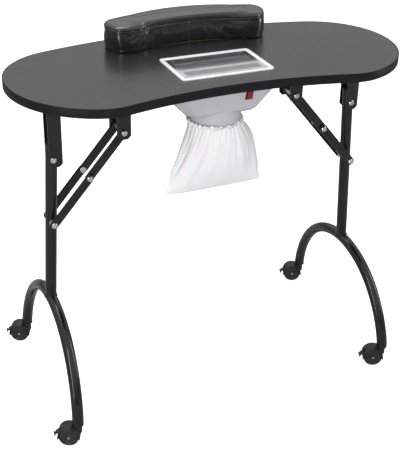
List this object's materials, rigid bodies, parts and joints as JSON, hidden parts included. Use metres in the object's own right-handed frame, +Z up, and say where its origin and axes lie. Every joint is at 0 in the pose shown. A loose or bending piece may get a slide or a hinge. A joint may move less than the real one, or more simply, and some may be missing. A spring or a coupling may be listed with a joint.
{
  "type": "manicure table",
  "caption": "Folding kidney-top manicure table with padded armrest, slotted dust extractor and bag, arched legs on braked twin-wheel casters.",
  "frame": {"origin": "on the floor, at the centre of the overall box", "axes": "+X along the top, +Y towards the armrest, +Z up"},
  "size_m": [0.9092, 0.4842, 0.844],
  "materials": {
    "black_laminate": "satin laminate on board",
    "edge_strip": "smooth satin",
    "board": "raw",
    "black_leatherette": "glossy, fine grain",
    "white_trim": "glossy",
    "polished_plate": "polished",
    "grey_shell": "fine satin",
    "motor_can": "satin",
    "fan_plastic": "matte",
    "black_plastic": "satin",
    "red_button": "glossy",
    "bag_cloth": "soft non-woven",
    "elastic_band": "gathered",
    "zinc_hardware": "bright zinc",
    "black_enamel": "gloss enamel",
    "caster_plastic": "satin",
    "steel_pins": "bright",
    "wheel_tread": "satin"
  },
  "bodies": {
    "table": {"tabletop": "black_laminate", "edge_band": "edge_strip", "armrest_board": "board", "armrest_cushion": "black_leatherette", "armrest_screws": "zinc_hardware", "grille_frame": "white_trim", "grille_plate": "polished_plate", "fan_housing": "grey_shell", "outlet_duct": "grey_shell", "fan_motor": "motor_can", "switch_body": "black_plastic", "power_inlet": "black_plastic", "dust_bag": "bag_cloth", "bag_elastic": "elastic_band", "hinge_bolts": "zinc_hardware", "upper_brace_bolts": "zinc_hardware", "bracket_screws": "zinc_hardware", "housing_screws": "zinc_hardware", "left_hinge_bracket": "black_enamel", "right_hinge_bracket": "black_enamel", "left_brace_bracket": "black_enamel", "right_brace_bracket": "black_enamel"},
    "impeller": {"fan_impeller": "fan_plastic"},
    "rocker": {"switch_rocker": "red_button"},
    "left_leg": {"left_foot_arch": "black_enamel", "left_post": "black_enamel", "left_post_cap": "black_plastic", "left_lower_brace_bolt": "zinc_hardware", "left_caster_sockets": "caster_plastic"},
    "left_upper_brace": {"left_upper_links": "black_enamel", "left_knee_nuts": "zinc_hardware"},
    "left_lower_brace": {"left_lower_links": "black_enamel", "left_knee_bolts": "zinc_hardware"},
    "front_left_caster": {"front_left_caster_hood": "caster_plastic", "front_left_caster_pins": "steel_pins"},
    "front_left_caster_rollers": {"front_left_caster_wheels": "wheel_tread"},
    "front_left_caster_pedal": {"front_left_caster_brake": "caster_plastic"},
    "rear_left_caster": {"rear_left_caster_hood": "caster_plastic", "rear_left_caster_pins": "steel_pins"},
    "rear_left_caster_rollers": {"rear_left_caster_wheels": "wheel_tread"},
    "rear_left_caster_pedal": {"rear_left_caster_brake": "caster_plastic"},
    "right_leg": {"right_foot_arch": "black_enamel", "right_post": "black_enamel", "right_post_cap": "black_plastic", "right_lower_brace_bolt": "zinc_hardware", "right_caster_sockets": "caster_plastic"},
    "right_upper_brace": {"right_upper_links": "black_enamel", "right_knee_nuts": "zinc_hardware"},
    "right_lower_brace": {"right_lower_links": "black_enamel", "right_knee_bolts": "zinc_hardware"},
    "front_right_caster": {"front_right_caster_hood": "caster_plastic", "front_right_caster_pins": "steel_pins"},
    "front_right_caster_rollers": {"front_right_caster_wheels": "wheel_tread"},
    "front_right_caster_pedal": {"front_right_caster_brake": "caster_plastic"},
    "rear_right_caster": {"rear_right_caster_hood": "caster_plastic", "rear_right_caster_pins": "steel_pins"},
    "rear_right_caster_rollers": {"rear_right_caster_wheels": "wheel_tread"},
    "rear_right_caster_pedal": {"rear_right_caster_brake": "caster_plastic"}
  },
  "joints": [
    {"name": "impeller_spin", "type": "hinge", "parent": "table", "child": "impeller", "pos_m": [0, -0.0454, 0.672], "axis": [0, 0, 1], "continuous": true},
    {"name": "switch_rock", "type": "hinge", "parent": "table", "child": "rocker", "pos_m": [0.049, -0.11171, 0.731], "axis": [1, 0, 0], "range_deg": [0, 12]},
    {"name": "left_leg_fold", "type": "hinge", "parent": "table", "child": "left_leg", "pos_m": [-0.36729, -0.0084, 0.607], "axis": [0, -1, 0], "range_deg": [0, 93.17], "deforming": ["dust_bag"]},
    {"name": "left_upper_brace_fold", "type": "hinge", "parent": "table", "child": "left_upper_brace", "pos_m": [-0.21029, -0.0084, 0.65], "axis": [0, -1, 0], "range_deg": [-53.49, 0.2]},
    {"name": "left_lower_brace_fold", "type": "hinge", "parent": "left_leg", "child": "left_lower_brace", "pos_m": [-0.3757, -0.0084, 0.45523], "axis": [0, -1, 0], "range_deg": [-0.2, 14.37]},
    {"name": "front_left_caster_swivel", "type": "hinge", "parent": "left_leg", "child": "front_left_caster", "pos_m": [-0.39801, -0.22495, 0.05242], "axis": [0, 0, 1], "continuous": true},
    {"name": "front_left_caster_roll", "type": "hinge", "parent": "front_left_caster", "child": "front_left_caster_rollers", "pos_m": [-0.4166, -0.21656, 0.0225], "axis": [0.4115, 0.9114, 0], "continuous": true},
    {"name": "front_left_caster_brake_press", "type": "hinge", "parent": "front_left_caster", "child": "front_left_caster_pedal", "pos_m": [-0.43847, -0.20668, 0.0305], "axis": [0.4115, 0.9114, 0], "range_deg": [-14, 0]},
    {"name": "rear_left_caster_swivel", "type": "hinge", "parent": "left_leg", "child": "rear_left_caster", "pos_m": [-0.39801, 0.20815, 0.05242], "axis": [0, 0, 1], "continuous": true},
    {"name": "rear_left_caster_roll", "type": "hinge", "parent": "rear_left_caster", "child": "rear_left_caster_rollers", "pos_m": [-0.4166, 0.21655, 0.0225], "axis": [0.4115, 0.9114, 0], "continuous": true},
    {"name": "rear_left_caster_brake_press", "type": "hinge", "parent": "rear_left_caster", "child": "rear_left_caster_pedal", "pos_m": [-0.43847, 0.22643, 0.0305], "axis": [0.4115, 0.9114, 0], "range_deg": [-14, 0]},
    {"name": "right_leg_fold", "type": "hinge", "parent": "table", "child": "right_leg", "pos_m": [0.36574, -0.0084, 0.635], "axis": [0, 1, 0], "range_deg": [0, 93.17], "deforming": ["dust_bag"]},
    {"name": "right_upper_brace_fold", "type": "hinge", "parent": "table", "child": "right_upper_brace", "pos_m": [0.20874, -0.0084, 0.678], "axis": [0, 1, 0], "range_deg": [-53.49, 0.2]},
    {"name": "right_lower_brace_fold", "type": "hinge", "parent": "right_leg", "child": "right_lower_brace", "pos_m": [0.37415, -0.0084, 0.48323], "axis": [0, 1, 0], "range_deg": [-0.2, 14.37]},
    {"name": "front_right_caster_swivel", "type": "hinge", "parent": "right_leg", "child": "front_right_caster", "pos_m": [0.39801, -0.22495, 0.05242], "axis": [0, 0, 1], "continuous": true},
    {"name": "front_right_caster_roll", "type": "hinge", "parent": "front_right_caster", "child": "front_right_caster_rollers", "pos_m": [0.37941, -0.21656, 0.0225], "axis": [0.4115, 0.9114, 0], "continuous": true},
    {"name": "front_right_caster_brake_press", "type": "hinge", "parent": "front_right_caster", "child": "front_right_caster_pedal", "pos_m": [0.35754, -0.20668, 0.0305], "axis": [0.4115, 0.9114, 0], "range_deg": [-14, 0]},
    {"name": "rear_right_caster_swivel", "type": "hinge", "parent": "right_leg", "child": "rear_right_caster", "pos_m": [0.39801, 0.20815, 0.05242], "axis": [0, 0, 1], "continuous": true},
    {"name": "rear_right_caster_roll", "type": "hinge", "parent": "rear_right_caster", "child": "rear_right_caster_rollers", "pos_m": [0.37941, 0.21655, 0.0225], "axis": [0.4115, 0.9114, 0], "continuous": true},
    {"name": "rear_right_caster_brake_press", "type": "hinge", "parent": "rear_right_caster", "child": "rear_right_caster_pedal", "pos_m": [0.35754, 0.22643, 0.0305], "axis": [0.4115, 0.9114, 0], "range_deg": [-14, 0]}
  ],
  "couplings": [
    {"joint": "left_upper_brace_fold", "follows": "left_leg_fold", "ratio": -0.572},
    {"joint": "left_lower_brace_fold", "follows": "left_leg_fold", "ratio": 0.1521},
    {"joint": "right_upper_brace_fold", "follows": "right_leg_fold", "ratio": -0.572},
    {"joint": "right_lower_brace_fold", "follows": "right_leg_fold", "ratio": 0.1521}
  ]
}
